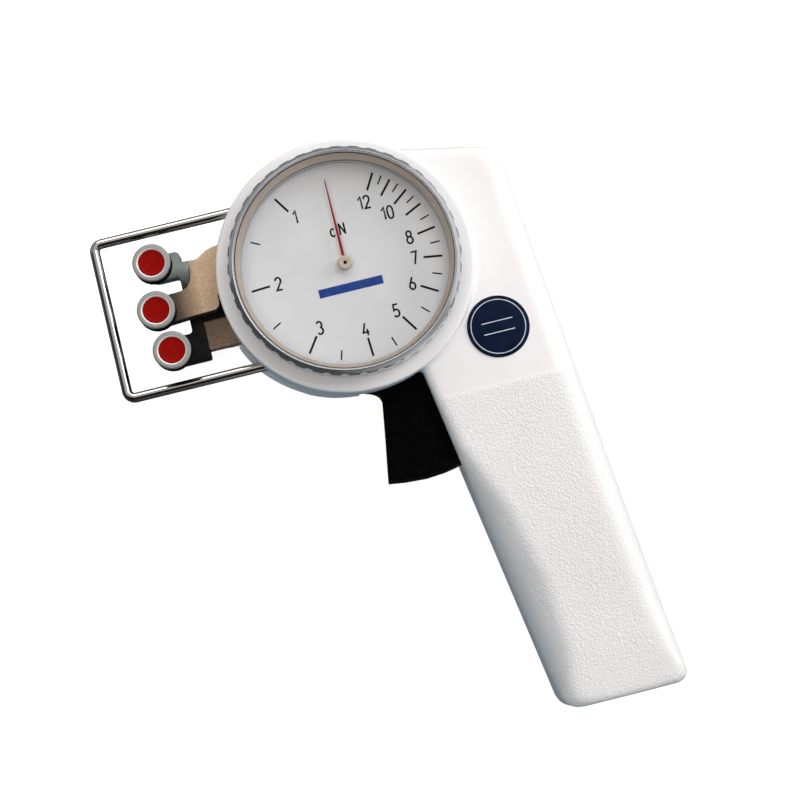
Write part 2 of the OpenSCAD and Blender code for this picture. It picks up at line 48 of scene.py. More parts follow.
class Finish:
    """A Principled material with textures in the piece's own coordinates. Sizes in millimetres."""

    def __init__(self, name, color, rough, metal=0.0, **more):
        self.mat = bpy.data.materials.new(name)
        self.mat.use_nodes = True
        self.tree = self.mat.node_tree
        self.bsdf = self.tree.nodes["Principled BSDF"]
        self.put("Base Color", (*color, 1.0))
        self.put("Roughness", rough)
        self.put("Metallic", metal)
        for k, v in more.items():
            self.put(k.replace("_", " "), v)
        self.co = self.new("ShaderNodeTexCoord").outputs["Object"]
        self.normal = None

    def new(self, kind):
        return self.tree.nodes.new(kind)

    def put(self, socket, value):
        self.bsdf.inputs[socket].default_value = value

    def link(self, a, b):
        self.tree.links.new(a, b)

    def space(self, stretch):
        if stretch is None:
            return self.co
        m = self.new("ShaderNodeMapping")
        m.inputs["Scale"].default_value = stretch
        self.link(self.co, m.inputs["Vector"])
        return m.outputs["Vector"]

    def noise(self, size, detail=3.0, rough=0.55, stretch=None):
        n = self.new("ShaderNodeTexNoise")
        n.inputs["Scale"].default_value = 1000.0 / size
        n.inputs["Detail"].default_value = detail
        n.inputs["Roughness"].default_value = rough
        self.link(self.space(stretch), n.inputs["Vector"])
        return n.outputs[0]

    def cells(self, size, feature="SMOOTH_F1", randomness=1.0):
        n = self.new("ShaderNodeTexVoronoi")
        n.feature = feature
        n.inputs["Scale"].default_value = 1000.0 / size
        n.inputs["Randomness"].default_value = randomness
        self.link(self.co, n.inputs["Vector"])
        return n.outputs["Distance"]

    def tint(self, fac, *stops):
        r = self.new("ShaderNodeValToRGB")
        e = r.color_ramp.elements
        while len(e) < len(stops):
            e.new(0.5)
        for k, (pos, color) in enumerate(stops):
            e[k].position = pos
            e[k].color = (*color, 1.0)
        self.link(fac, r.inputs["Fac"])
        self.link(r.outputs["Color"], self.bsdf.inputs["Base Color"])
        return self

    def span(self, fac, a, b, lo, hi):
        m = self.new("ShaderNodeMapRange")
        for k, v in (("From Min", a), ("From Max", b), ("To Min", lo), ("To Max", hi)):
            m.inputs[k].default_value = v
        self.link(fac, m.inputs["Value"])
        return m.outputs["Result"]

    def vary_rough(self, fac, lo, hi):
        self.link(self.span(fac, 0.3, 0.7, lo, hi), self.bsdf.inputs["Roughness"])
        return self

    def times(self, a, b):
        m = self.new("ShaderNodeMath")
        m.operation = "MULTIPLY"
        self.link(a, m.inputs[0])
        self.link(b, m.inputs[1])
        return m.outputs[0]

    def bump(self, height, depth, strength=1.0):
        """depth is the full height of the relief in millimetres"""
        b = self.new("ShaderNodeBump")
        b.inputs["Distance"].default_value = depth * MM
        b.inputs["Strength"].default_value = strength
        self.link(height, b.inputs["Height"])
        if self.normal is not None:
            self.link(self.normal, b.inputs["Normal"])
        self.normal = b.outputs["Normal"]
        self.link(self.normal, self.bsdf.inputs["Normal"])
        return self

    def axis(self, k):
        s = self.new("ShaderNodeSeparateXYZ")
        self.link(self.co, s.inputs[0])
        return s.outputs[k]


def painted_white():
    # Stove-enamelled casting: smooth round the dial, grained on the lower grip
    f = Finish("housing_white", srgb(233, 231, 232), 0.42, Coat_Weight=0.08, Coat_Roughness=0.3)
    low = f.span(f.axis(1), -0.0546, -0.0526, 1.0, 0.0)
    f.tint(f.noise(38, 2), (0.35, srgb(231, 229, 230)), (0.65, srgb(235, 233, 234)))
    f.link(f.span(low, 0.0, 1.0, 0.38, 0.52), f.bsdf.inputs["Roughness"])
    f.bump(f.noise(0.5, 2), 0.012)
    f.bump(f.times(f.noise(0.52, 2.5, 0.6), low), 0.34)
    f.bump(f.times(f.cells(0.72), low), 0.2)
    return f


def metal(name, color, rough, size=1.5, vary=0.06, stretch=None, depth=0.004, pure=1.0):
    f = Finish(name, color, rough, pure)
    n = f.noise(size, 4, 0.6, stretch)
    f.tint(n, (0.3, tuple(c * 0.93 for c in color)), (0.7, color))
    f.vary_rough(n, max(0.02, rough - vary), rough + vary)
    return f.bump(n, depth)


def blasted(name, dark, mid, light, metal=0.35, rough=0.62):
    # Sand-blasted, chromated light metal
    f = Finish(name, mid, rough, metal)
    f.tint(f.noise(0.85, 5, 0.68), (0.30, dark), (0.5, mid), (0.72, light))
    f.vary_rough(f.noise(2.2, 3), rough - 0.07, rough + 0.1)
    f.bump(f.noise(0.6, 4, 0.65), 0.14)
    return f


M = {}
M["white"] = painted_white()
M["chrome"] = metal("guard_chrome", srgb(226, 222, 216), 0.09, 2.0, 0.03, depth=0.002)
M["bezel"] = metal("bezel_silver", srgb(214, 217, 221), 0.22, 0.9, 0.05, depth=0.004, pure=0.9)
M["ring"] = metal("ring_warm", srgb(196, 183, 169), 0.36, 0.6, 0.06, depth=0.004, pure=0.72)
M["alu"] = metal("roller_aluminium", srgb(186, 186, 184), 0.4, 0.5, 0.07, depth=0.008, pure=0.75)
# Painted highlight: the near-white bevel round each cap stands for a glint on that bevel.
M["rim"] = metal("roller_bevel_painted_highlight", srgb(242, 242, 240), 0.3, 0.5, 0.05, depth=0.003, pure=0.3)
M["hub"] = metal("hub_nickel", srgb(214, 202, 184), 0.42, 0.7, 0.06, depth=0.004, pure=0.6)
M["steel"] = metal("steel", srgb(188, 189, 191), 0.28, 0.8, 0.06)
M["spring"] = metal("spring_steel", srgb(120, 122, 128), 0.32, 0.8, 0.06)
M["brass"] = metal("brass", srgb(212, 178, 104), 0.3, 0.9, 0.07)
M["plate"] = metal("plate_aluminium", srgb(192, 194, 196), 0.4, 0.9, 0.08, (1, 14, 1))
M["magnet"] = metal("magnet_grey", srgb(96, 96, 100), 0.5, 0.7, 0.08)

f = Finish("lever_tan", srgb(192, 168, 143), 0.62, 0.35)
# Painted shade: the X ramp darkens the arm's left end (X -62 to -52 mm) to stand for the shadow of the middle roller;
# the noise is the blasted grain.
y = f.span(f.axis(0), -0.0622, -0.0522, 0.0, 0.5)
g = f.new("ShaderNodeMath")
g.operation = "MULTIPLY_ADD"
g.inputs[1].default_value = 0.5
f.link(f.noise(0.7, 5, 0.68), g.inputs[0])
f.link(y, g.inputs[2])
f.tint(g.outputs[0], (0.12, srgb(78, 68, 58)), (0.34, srgb(118, 102, 88)), (0.62, srgb(186, 156, 126)), (0.76, srgb(216, 187, 155)), (0.9, srgb(240, 214, 183)))
f.vary_rough(f.noise(2.2, 3), 0.55, 0.72)
M["tan"] = f.bump(f.noise(0.6, 4, 0.65), 0.12)
# Painted shade: a near-black copy of the blasted lever finish for the bracket's upright side walls, standing for the
# shade on them.
M["tan_side_painted_shade"] = blasted("lever_side_painted_shade", srgb(38, 31, 25), srgb(56, 46, 38), srgb(78, 65, 54))
M["tan_low"] = blasted("bar_tan", srgb(128, 103, 84), srgb(159, 132, 110), srgb(188, 161, 137))

f = Finish("yoke_dark", srgb(60, 64, 62), 0.5, 0.4)
y = f.span(f.axis(1), 0.007, 0.016, 0.0, 0.62)
n = f.noise(0.8, 4, 0.6)
g = f.new("ShaderNodeMath")
g.operation = "MULTIPLY_ADD"
g.inputs[1].default_value = 0.38
f.link(n, g.inputs[0])
f.link(y, g.inputs[2])
f.tint(g.outputs[0], (0.1, srgb(13, 15, 14)), (0.3, srgb(26, 28, 27)), (0.68, srgb(138, 147, 142)), (0.92, srgb(170, 179, 173)))
f.vary_rough(f.noise(2.2, 3), 0.42, 0.58)
M["yoke"] = f.bump(f.noise(0.6, 4, 0.6), 0.06)

# Painted shade: near-black finish for the rollers' side walls, groove and lower flange and for the hub's centre bore,
# standing for the shade there; the rollers' top faces stay grey aluminium.
f = Finish("dark_painted_shade", srgb(9, 9, 10), 0.42, Specular_IOR_Level=0.12)
f.tint(f.noise(0.7, 3), (0.3, srgb(6, 6, 7)), (0.7, srgb(14, 14, 15)))
M["black"] = f.bump(f.noise(0.3, 2), 0.01)

f = Finish("trigger_black", srgb(5, 5, 7), 0.55, Specular_IOR_Level=0.03)
f.tint(f.noise(3.5, 4), (0.3, srgb(2, 2, 3)), (0.7, srgb(8, 8, 10)))
f.vary_rough(f.noise(1.2, 3), 0.42, 0.58)
M["trigger"] = f.bump(f.noise(0.45, 3, 0.6), 0.03)

f = Finish("cap_red", srgb(142, 8, 2), 0.5, Specular_IOR_Level=0.06)
f.tint(f.noise(0.9, 5, 0.7), (0.3, srgb(110, 4, 1)), (0.7, srgb(162, 11, 3)))
f.vary_rough(f.noise(0.8, 3), 0.44, 0.56)
M["red"] = f.bump(f.noise(0.5, 3), 0.02)

f = Finish("pointer_red", srgb(150, 12, 20), 0.45, Specular_IOR_Level=0.3)
f.tint(f.noise(1.6, 3), (0.3, srgb(134, 8, 16)), (0.7, srgb(160, 14, 22)))
M["pointer"] = f.bump(f.noise(0.4, 2), 0.006)

f = Finish("dial_grey", srgb(222, 223, 225), 0.5, Specular_IOR_Level=0.3)
f.tint(f.noise(16, 3), (0.3, srgb(219, 220, 223)), (0.7, srgb(225, 226, 228)))
f.vary_rough(f.noise(0.6, 2), 0.4, 0.5)
M["dial"] = f.bump(f.noise(0.25, 2), 0.004)

f = Finish("dial_ink", srgb(12, 12, 14), 0.6, Specular_IOR_Level=0.2)
f.tint(f.noise(0.9, 3), (0.3, srgb(8, 8, 10)), (0.7, srgb(18, 18, 20)))
M["ink"] = f.bump(f.noise(0.2, 2), 0.004)

f = Finish("dial_blue", srgb(24, 54, 138), 0.5, Specular_IOR_Level=0.25)
f.tint(f.noise(2.5, 3), (0.3, srgb(17, 52, 128)), (0.7, srgb(27, 68, 148)))
M["blue"] = f.bump(f.noise(0.25, 2), 0.004)

f = Finish("disc_navy", srgb(10, 22, 46), 0.5, Specular_IOR_Level=0.06)
f.tint(f.noise(4, 3), (0.3, srgb(7, 18, 40)), (0.7, srgb(13, 27, 53)))
M["navy"] = f.bump(f.noise(0.8, 2), 0.008)

f = Finish("disc_line", srgb(206, 212, 222), 0.4)
f.tint(f.noise(1.2, 3), (0.3, srgb(186, 194, 208)), (0.7, srgb(220, 225, 232)))
M["line"] = f.bump(f.noise(0.3, 2), 0.004)

f = Finish("lens_clear", (0.05, 0.05, 0.05), 0.03, Alpha=0.04, IOR=1.49)
M["lens"] = f.vary_rough(f.noise(9, 2), 0.02, 0.05)


# ---------- shape helpers ----------
def piece(name, verts, faces, finishes, body, replaces=(), sharp=35, face_mat=None):
    me = bpy.data.meshes.new(name)
    me.from_pydata((np.asarray(verts, float) * MM).tolist(), [], faces)
    me.polygons.foreach_set("use_smooth", np.ones(len(me.polygons), bool))
    for k in finishes if isinstance(finishes, (list, tuple)) else [finishes]:
        me.materials.append(M[k].mat)
    if face_mat is not None:
        me.polygons.foreach_set("material_index", np.asarray(face_mat, np.int32))
    me.update()
    me.validate()
    me.set_sharp_from_angle(angle=math.radians(sharp))
    ob = bpy.data.objects.new(name, me)
    scene.collection.objects.link(ob)
    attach(ob, body)
    if replaces:
        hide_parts(*replaces)
    return ob


def rounded(pts, radius, n=4):
    """A closed outline with each corner rounded; radius is one number or one for each corner."""
    out, m = [], len(pts)
    for i in range(m):
        p, r = np.array(pts[i], float), radius[i] if isinstance(radius, (list, tuple)) else radius
        a, b = np.array(pts[i - 1], float) - p, np.array(pts[(i + 1) % m], float) - p
        la, lb = np.linalg.norm(a), np.linalg.norm(b)
        a, b = a / la, b / lb
        ang = math.acos(max(-1.0, min(1.0, float(a @ b))))
        if r <= 0 or ang > math.pi - 0.03 or ang < 0.03:
            out.append(tuple(p))
            continue
        t = min(r / math.tan(ang / 2), 0.47 * la, 0.47 * lb)
        rr = t * math.tan(ang / 2)
        bis = (a + b) / np.linalg.norm(a + b)
        c = p + bis * rr / math.sin(ang / 2)
        s0, s1 = p + a * t - c, p + b * t - c
        a0, a1 = math.atan2(s0[1], s0[0]), math.atan2(s1[1], s1[0])
        d = (a1 - a0 + math.pi) % (2 * math.pi) - math.pi
        for k in range(n + 1):
            w = a0 + d * k / n
            out.append((c[0] + rr * math.cos(w), c[1] + rr * math.sin(w)))
    return out


def arc(cx, cy, r, a0, a1, n):
    return [(cx + r * math.cos(math.radians(a0 + (a1 - a0) * k / n)), cy + r * math.sin(math.radians(a0 + (a1 - a0) * k / n))) for k in range(n + 1)]


def ccw(pts):
    p = np.asarray(pts, float)
    q = np.roll(p, -1, 0)
    return p if (p[:, 0] * q[:, 1] - q[:, 0] * p[:, 1]).sum() > 0 else p[::-1]


def inset(p, d):
    """A counter-clockwise outline moved inwards by d, with mitred corners."""
    e = np.roll(p, -1, 0) - p
    e /= np.linalg.norm(e, axis=1)[:, None]
    n = np.stack([-e[:, 1], e[:, 0]], 1)
    n0 = np.roll(n, 1, 0)
    k = 1 + (n * n0).sum(1)
    return p + d * (n + n0) / np.maximum(k, 0.35)[:, None]


def loft(rings, caps=True):
    """Vertices and faces through rings of equal length, counter-clockwise seen from the last."""
    m = len(rings[0])
    verts = np.concatenate(rings)
    faces = []
    for k in range(len(rings) - 1):
        for i in range(m):
            j = (i + 1) % m
            faces.append((k * m + i, k * m + j, (k + 1) * m + j, (k + 1) * m + i))
    if caps:
        faces.append(tuple(range(m - 1, -1, -1)))
        faces.append(tuple(range((len(rings) - 1) * m, len(rings) * m)))
    return verts, faces


def prism(outline, z0, z1, top=0.4, bottom=0.4, n=4):
    """An extruded outline whose upper and lower edges are rounded."""
    p = ccw(outline)
    rings = []
    for k in range(n + 1):
        a = math.pi / 2 * k / n
        rings.append(np.c_[inset(p, bottom * (1 - math.sin(a))), np.full(len(p), z0 + bottom * (1 - math.cos(a)))])
    for k in range(n + 1):
        a = math.pi / 2 * k / n
        rings.append(np.c_[inset(p, top * (1 - math.cos(a))), np.full(len(p), z1 - top * (1 - math.sin(a)))])
    return loft(rings)


def lathe(prof, seg=96, at=(0, 0), shape=None):
    """Turns a profile (r, z), counter-clockwise, about Z. shape may change the radius round the turn."""
    ang = np.linspace(0, 2 * math.pi, seg, endpoint=False)
    verts, idx = [], []
    for r, z in prof:
        if r < 1e-6:
            idx.append([len(verts)] * seg)
            verts.append((at[0], at[1], z))
            continue
        rr = np.full(seg, r) if shape is None else shape(ang, r, z)
        idx.append(list(range(len(verts), len(verts) + seg)))
        verts.extend(zip(at[0] + rr * np.cos(ang), at[1] + rr * np.sin(ang), [z] * seg))
    faces, rows = [], []
    for i in range(len(prof)):
        j = (i + 1) % len(prof)
        if prof[i][0] < 1e-6 and prof[j][0] < 1e-6:
            continue
        for k in range(seg):
            q = (k + 1) % seg
            f = [idx[i][k], idx[i][q], idx[j][q], idx[j][k]]
            g = [v for n, v in enumerate(f) if v not in f[:n]]
            if len(g) > 2:
                faces.append(tuple(g))
                rows.append(i)
    return np.array(verts), faces, rows


def steep(verts, faces, limit=0.5):
    """1 for each face that stands upright, 0 for the others"""
    out = []
    for f in faces:
        p = np.asarray([verts[i] for i in f]) - verts[f[0]]
        n = np.cross(p, np.roll(p, -1, 0)).sum(0)
        out.append(int(abs(n[2]) < limit * np.linalg.norm(n)))
    return out


def join(*parts):
    verts, faces, n = [], [], 0
    for v, f in parts:
        verts.append(np.asarray(v, float))
        faces += [tuple(i + n for i in q) for q in f]
        n += len(v)
    return np.concatenate(verts), faces


def tube(path, r, seg=40):
    """A round bar along a path in a plane of constant height."""
    p = np.asarray(path, float)
    t = np.gradient(p, axis=0)
    t /= np.linalg.norm(t, axis=1)[:, None]
    side = np.stack([t[:, 1], -t[:, 0], np.zeros(len(p))], 1)
    a = np.linspace(0, 2 * math.pi, seg, endpoint=False)
    rings = [p[i] + r * (np.outer(np.cos(a), side[i]) + np.outer(np.sin(a), (0, 0, 1))) for i in range(len(p))]
    return loft(rings)


def ribbon(pts, width, z0, z1, closed=False):
    """A flat stroke of even width, as a thin closed solid."""
    p = np.asarray(pts, float)
    n = len(p)
    d = np.roll(p, -1, 0) - p
    if not closed:
        d[-1] = p[-1] - p[-2]
    d /= np.linalg.norm(d, axis=1)[:, None]
    nn = np.stack([-d[:, 1], d[:, 0]], 1)
    n0 = np.roll(nn, 1, 0)
    if not closed:
        n0[0] = nn[0]
        nn[-1] = n0[-1]
    off = (nn + n0) / np.maximum(1 + (nn * n0).sum(1), 0.45)[:, None] * width / 2
    a, b = p + off, p - off
    verts = np.concatenate([np.c_[a, np.full(n, z1)], np.c_[b, np.full(n, z1)], np.c_[a, np.full(n, z0)], np.c_[b, np.full(n, z0)]])
    faces = []
    for i in range(n if closed else n - 1):
        j = (i + 1) % n
        faces += [(i, n + i, n + j, j), (2 * n + j, 3 * n + j, 3 * n + i, 2 * n + i), (i, j, 2 * n + j, 2 * n + i), (n + j, n + i, 3 * n + i, 3 * n + j)]
    if not closed:
        e = n - 1
        faces += [(0, 2 * n, 3 * n, n), (e, n + e, 3 * n + e, 2 * n + e)]
    return verts, faces


# ---------- housing shells, from one distance field ----------
def smax(a, b, k):
    h = np.maximum(k - np.abs(a - b), 0) / k
    return np.maximum(a, b) + h * h * k * 0.25


def smin(a, b, k):
    return -smax(-a, -b, k)


def rmax(a, b, r):
    return np.minimum(-r, np.maximum(a, b)) + np.hypot(np.maximum(a + r, 0), np.maximum(b + r, 0))


def tangent(c1, c2):
    (x1, y1, r1), (x2, y2, r2) = c1, c2
    length = math.hypot(x2 - x1, y2 - y1)
    ux, uy, s = (x2 - x1) / length, (y2 - y1) / length, (r1 - r2) / length
    c = math.sqrt(1 - s * s)
    nx, ny = -uy * c + ux * s, ux * c + uy * s
    return nx, ny, nx * x1 + ny * y1 + r1


CORNERS = [(24, 33.1, 6.5), (58, 26.1, 6.5), (74.4, -162.4, 7), (43.9, -161.4, 8), (21, -10, 8)]
EDGES = [tangent(CORNERS[i], CORNERS[(i + 1) % 5]) for i in range(5)]
CUP_R, RIM_Z, GRIP_Z, SPLIT, WALL = 45.69, 40.0, 33.0, 13.0, 2.8
GRIP_SCREWS = [(57, 19), (69, -153), (47, -155)]
STANDOFFS = [(-25, 13), (-23, -18), (25, 14)]
CHASSIS_BOSSES = [(36.5 * math.cos(math.radians(a)), 36.5 * math.sin(math.radians(a))) for a in (45, 100, 235, 330)]


def grip_field(x, y, z):
    t, r, b, l, i = (nx * x + ny * y - h for nx, ny, h in EDGES)
    d = np.maximum(smax(smax(t, r, 7.6), smax(b, smax(l, i, 9.0), 6.6), 6.2), x - 81.3)
    # Distance of the soft crease from the edge: it widens where the palm lies
    palm = np.interp(y, (-166, -150, -125, -98, -84, -72, -50, -20), (6.0, 9.0, 11.0, 9.5, 6.0, 3.0, 1.8, 1.8))
    thumb = np.interp(y, (-166, -140, -100, -60, 0, 30), (5.0, 7.0, 8.0, 7.0, 6.0, 5.0))
    w = [np.exp(np.minimum(v, 40) / 4) for v in (t, r, b, l, i)]
    c = (w[0] * 3.2 + w[1] * thumb + w[2] * 1.4 + w[3] * palm + w[4] * 3.0) / sum(w)
    big = 1.73 * c
    side = rmax(d, z - GRIP_Z - 0.094 * big, big)
    return smax(smax(side, z - GRIP_Z, 1.1), -z, 5.8)


def cup_field(x, y, z, under=0.0):
    side = np.hypot(x, y) - CUP_R + np.maximum(31 - z, 0) * math.tan(math.radians(1.5))
    turn = np.degrees(np.arctan2(-x, y))
    pad = np.interp(turn, (-180, -172, 26, 40, 56, 70, 96, 113, 126, 145, 165, 180), (0.1, 0.0, 0.0, 1.4, 1.4, 0.0, 0.0, 1.6, 1.5, 0.5, 0.2, 0.1))
    side = side - pad * np.clip((27.5 - z) / 5.0, 0, 1)
    # Relief above the trigger
    side = side + under * np.interp(turn, (-180, -158, -145, 150, 160, 170, 180), (1.0, 1.0, 0.0, 0.0, 0.35, 0.9, 1.0)) * np.clip((37 - z) / 9.0, 0, 1)
    return smax(rmax(side, z - RIM_Z, 1.0), -z, 23.4)


def body_field(x, y, z, under=0.0):
    return smin(cup_field(x, y, z, under), grip_field(x, y, z), 2.2)


def post(x, y, z, at, r, z0, z1):
    return np.maximum(np.hypot(x - at[0], y - at[1]) - r, np.maximum(z0 - z, z - z1))


def block(x, y, z, lo, hi):
    return np.maximum(np.maximum(np.maximum(lo[0] - x, x - hi[0]), np.maximum(lo[1] - y, y - hi[1])), np.maximum(lo[2] - z, z - hi[2]))


def front_skin(x, y, z):
    return body_field(x, y, z, 1.1) + 0.2 * np.maximum(0, 1 - np.abs(z - SPLIT) / 0.6)


def front_hollow(x, y, z):
    # What is solid inside the front shell: neck of the dial opening, chassis bosses, screw posts, spring seat
    s = np.maximum(np.abs(np.hypot(x, y) - 39.25) - 1.75, np.maximum(33 - z, z - 39))
    for p in CHASSIS_BOSSES:
        s = np.minimum(s, post(x, y, z, p, 3.2, 16.3, 38))
    for p in GRIP_SCREWS:
        s = np.minimum(s, post(x, y, z, p, 3.6, 12, 32))
    s = np.minimum(s, block(x, y, z, (59, -70, 9), (62, -54, 32)))
    return np.minimum(-(body_field(x, y, z) + WALL), s)


def rear_hollow(x, y, z):
    s = np.full_like(x, 1e3)
    for p in STANDOFFS:
        s = np.minimum(s, post(x, y, z, p, 4.2, 1, 6))
    for p in GRIP_SCREWS:
        s = np.minimum(s, post(x, y, z, p, 4.2, 1, 14))
    return np.minimum(-(body_field(x, y, z) + WALL), s)


def window_cut(x, y, z):
    return -block(x, y, z, (-60, -16.5, 16.4), (-35, 23.6, 30.8))


def trigger_cut(x, y, z):
    reach = np.hypot(x - 2, y - 30) - 109.6
    # The slot's floor is bevelled towards the outer skin, so that no knife edge is left there
    floor = 7.4 - np.maximum(body_field(x, y, z) + 1.6, 0) - z
    return -np.maximum(np.maximum(reach, floor), block(x, y, z, (-6.2, -90, 0), (36, -30, 25)))


def front_bores(x, y, z):
    s = np.maximum(np.hypot(x, y) - 37.5, 32 - z)
    for gy, end in ((30.2, -28.9), (-26.9, -32.1)):
        s = np.minimum(s, np.maximum(np.hypot(y - gy, z - 29.8) - 1.83, x - end))
    for p in GRIP_SCREWS:
        s = np.minimum(s, post(x, y, z, p, 1.3, 0, 23))
    for p in CHASSIS_BOSSES:
        s = np.minimum(s, post(x, y, z, p, 1.3, 0, 24))
    return -s


def rear_bores(x, y, z):
    s = np.full_like(x, 1e3)
    for p in STANDOFFS + GRIP_SCREWS:
        s = np.minimum(s, np.minimum(post(x, y, z, p, 1.4, -5, 30), post(x, y, z, p, 2.9, -5, 2.8)))
    return -s


def net(fields, lo, hi, h):
    """Surface of the solid where every field is negative: a surface net, then each vertex moved onto the faces that meet there."""
    ax = [np.arange(a, b + h, h) for a, b in zip(lo, hi)]
    shape = tuple(len(a) for a in ax)
    grid = np.meshgrid(*ax, indexing="ij")
    F = np.full(shape, -1e9)
    for f in fields:
        F = np.maximum(F, f(*grid))
    S = F < 0
    n = np.zeros(tuple(s - 1 for s in shape), np.uint8)
    corners = [(i, j, k) for i in (0, 1) for j in (0, 1) for k in (0, 1)]
    for i, j, k in corners:
        n += S[i : i + n.shape[0], j : j + n.shape[1], k : k + n.shape[2]]
    active = (n > 0) & (n < 8)
    cell = np.argwhere(active)
    index = np.full(active.shape, -1, np.int64)
    index[active] = np.arange(len(cell))
    acc, num = np.zeros((len(cell), 3)), np.zeros(len(cell))
    for a in corners:
        for axis in range(3):
            if a[axis]:
                continue
            b = list(a)
            b[axis] = 1
            fa = F[tuple((cell + a).T)]
            fb = F[tuple((cell + b).T)]
            hit = (fa < 0) != (fb < 0)
            t = fa[hit] / (fa[hit] - fb[hit])
            p = np.tile(np.array(a, float), (hit.sum(), 1))
            p[:, axis] = t
            acc[hit] += p
            num[hit] += 1
    V = np.array([a[0] for a in ax]) + h * (cell + acc / num[:, None])
    faces = []
    for axis in range(3):
        u, w = (axis + 1) % 3, (axis + 2) % 3
        sl0, sl1 = [slice(1, -1)] * 3, [slice(1, -1)] * 3
        sl0[axis], sl1[axis] = slice(0, -1), slice(1, None)
        s0, s1 = S[tuple(sl0)], S[tuple(sl1)]
        for flip in (False, True):
            at = np.argwhere((s0 & ~s1) if not flip else (~s0 & s1))
            at[:, u] += 1
            at[:, w] += 1
            quad = []
            for du, dw in ((-1, -1), (0, -1), (0, 0), (-1, 0)):
                c = at.copy()
                c[:, u] += du
                c[:, w] += dw
                quad.append(index[tuple(c.T)])
            faces.append(np.stack(quad[::-1] if flip else quad, 1))
    start, eps = V.copy(), 0.01
    for _ in range(5):
        xyz = (V[:, 0], V[:, 1], V[:, 2])
        G = np.stack([f(*xyz) for f in fields])
        D = np.stack([np.stack([(f(*[c + eps * (k == q) for q, c in enumerate(xyz)]) - g) / eps for k in range(3)], 1) for f, g in zip(fields, G)])
        top = G.max(0)
        live = (G > top - 0.4 * h) & (np.abs(G) < 1.5 * h)
        order = np.argsort(np.where(live, -G, 1e9), axis=0)[:3]
        on = np.take_along_axis(live, order, 0)
        g = np.where(on, np.take_along_axis(G, order, 0), 0).T
        J = np.where(on[..., None], np.take_along_axis(D, order[..., None], 0), 0).transpose(1, 0, 2)
        A = J @ J.transpose(0, 2, 1) + np.eye(3) * 2e-3
        A[:, [0, 1, 2], [0, 1, 2]] += (~on).T
        step = -(J.transpose(0, 2, 1) @ np.linalg.solve(A, g[..., None]))[..., 0]
        size = np.linalg.norm(step, axis=1)[:, None]
        V = V + step * np.minimum(1, 0.5 * h / np.maximum(size, 1e-9))
        V = start + np.clip(V - start, -0.9 * h, 0.9 * h)
    return V, np.concatenate(faces).tolist()


STEP = 0.85
LO, HI = (-47.3, -171.3, -1.7), (83.1, 47.3, 41.6)
v, q = net([front_skin, front_hollow, lambda x, y, z: SPLIT + 0.03 - z, window_cut, trigger_cut, front_bores], (LO[0], LO[1], 11.0), HI, STEP)
piece("housing_front", v, q, "white", "housing", ["front_housing"], 32)
v, q = net([front_skin, rear_hollow, lambda x, y, z: z - SPLIT + 0.03, trigger_cut, rear_bores], LO, (HI[0], HI[1], 15.0), STEP)
v[:, 2] = np.maximum(v[:, 2], 0.0)
piece("housing_rear", v, q, "white", "housing", ["rear_cover"], 32)

# ---------- wire guard ----------
GX, GT, GB, GZ, GR, BEND = -85.6, 30.2, -26.9, 29.8, 1.8, 2.8
path = [(x, GB) for x in np.linspace(-32.2, GX + BEND, 24)]
path += arc(GX + BEND, GB + BEND, BEND, 270, 180, 14)[1:]
path += [(GX, y) for y in np.linspace(GB + BEND, GT - BEND, 26)][1:]
path += arc(GX + BEND, GT - BEND, BEND, 180, 90, 14)[1:]
path += [(x, GT) for x in np.linspace(GX + BEND, -29.0, 24)][1:]
v, q = tube([(x, y, GZ) for x, y in path], GR)
piece("guard_wire", v, q, "chrome", "housing", ["wire_guard"], 60)

# ---------- stuck-on disc, plain ----------
DX, DY, DZ, DR = 47.3, -33.6, 33.0, 11.1
prof = rounded([(0, DZ), (DR, DZ), (DR, DZ + 0.28), (0, DZ + 0.28)], [0, 0, 0.2, 0], 4)
v, q, _ = lathe([(0, DZ)] + [p for p in prof if p[0] > 1e-6] + [(0, DZ + 0.28)], 120, (DX, DY))
piece("grip_disc", v, q, "navy", "housing", ["inspection_disc"], 40)
ring = [(DX + 9.7 * math.cos(a), DY + 9.7 * math.sin(a)) for a in np.linspace(0, 2 * math.pi, 120, endpoint=False)]
tilt = math.radians(0)
ux, uy = math.cos(tilt), math.sin(tilt)
bars = [ribbon(ring, 0.28, DZ + 0.26, DZ + 0.3, True)]
for off, half in ((2.0, 5.6), (-2.0, 5.6)):
    c = (DX - uy * off, DY + ux * off)
    bars.append(ribbon([(c[0] - ux * half, c[1] - uy * half), (c[0] + ux * half, c[1] + uy * half)], 0.3, DZ + 0.26, DZ + 0.3))
v, q = join(*bars)
piece("grip_disc_lines", v, q, "line", "housing")

# ---------- dial: bezel, retaining ring, print, pointer ----------
BR, TEETH = 40.9, 40


def scalloped(ang, r, z):
    if r < 40.0 or not 40.1 < z < 47.5:
        return np.full(len(ang), r)
    a = (ang * TEETH / (2 * math.pi) + 0.5) % 1.0
    across = (np.minimum(a, 1 - a)) * 2 * math.pi * BR / TEETH
    return np.minimum(r, BR + 2.5 - np.sqrt(np.maximum(9.0 - across**2, 0)))


